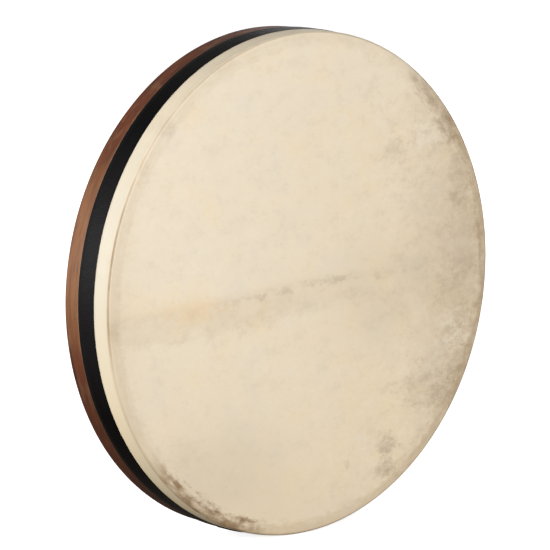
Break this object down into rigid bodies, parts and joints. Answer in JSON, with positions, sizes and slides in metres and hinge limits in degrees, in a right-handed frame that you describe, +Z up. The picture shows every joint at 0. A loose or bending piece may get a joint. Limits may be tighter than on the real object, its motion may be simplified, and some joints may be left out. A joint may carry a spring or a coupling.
{
  "type": "bodhran",
  "caption": "Round shallow frame drum with a fixed goatskin head, a bent wood hoop edged with black tape and crossed hand bars in its open back.",
  "frame": {"origin": "on the surface that the drum stands on, under the drum's axis and midway through its depth", "axes": "+Z up; the drum's axis runs along Y, the head faces -Y and the open back +Y; X runs across the drum"},
  "size_m": [0.4582, 0.06, 0.4582],
  "materials": {
    "hoop_wood": "brown stain under a thin satin lacquer",
    "goatskin": "natural untreated goatskin, matte, mottled",
    "woven_tape": "black ribbed woven tape, matte",
    "tack_steel": "bright flat-headed tack",
    "bar_wood": "brown stain under a thin satin lacquer",
    "block_wood": "planed, lightly stained",
    "screw_steel": "zinc-plated"
  },
  "bodies": {
    "root": {"frame_hoop": "hoop_wood", "goatskin_head": "goatskin", "edge_tape": "woven_tape", "skin_tack_01": "tack_steel", "skin_tack_02": "tack_steel", "skin_tack_03": "tack_steel", "skin_tack_04": "tack_steel", "skin_tack_05": "tack_steel", "skin_tack_06": "tack_steel", "skin_tack_07": "tack_steel", "skin_tack_08": "tack_steel", "skin_tack_09": "tack_steel", "skin_tack_10": "tack_steel", "skin_tack_11": "tack_steel", "skin_tack_12": "tack_steel", "skin_tack_13": "tack_steel", "skin_tack_14": "tack_steel", "skin_tack_15": "tack_steel", "skin_tack_16": "tack_steel", "skin_tack_17": "tack_steel", "skin_tack_18": "tack_steel", "skin_tack_19": "tack_steel", "skin_tack_20": "tack_steel", "skin_tack_21": "tack_steel", "skin_tack_22": "tack_steel", "skin_tack_23": "tack_steel", "skin_tack_24": "tack_steel", "crossbar_level": "bar_wood", "crossbar_upright": "bar_wood", "bar_block_top": "block_wood", "bar_screw_top": "screw_steel", "bar_block_right": "block_wood", "bar_screw_right": "screw_steel", "bar_block_bottom": "block_wood", "bar_screw_bottom": "screw_steel", "bar_block_left": "block_wood", "bar_screw_left": "screw_steel", "centre_screw": "screw_steel"}
  },
  "joints": []
}
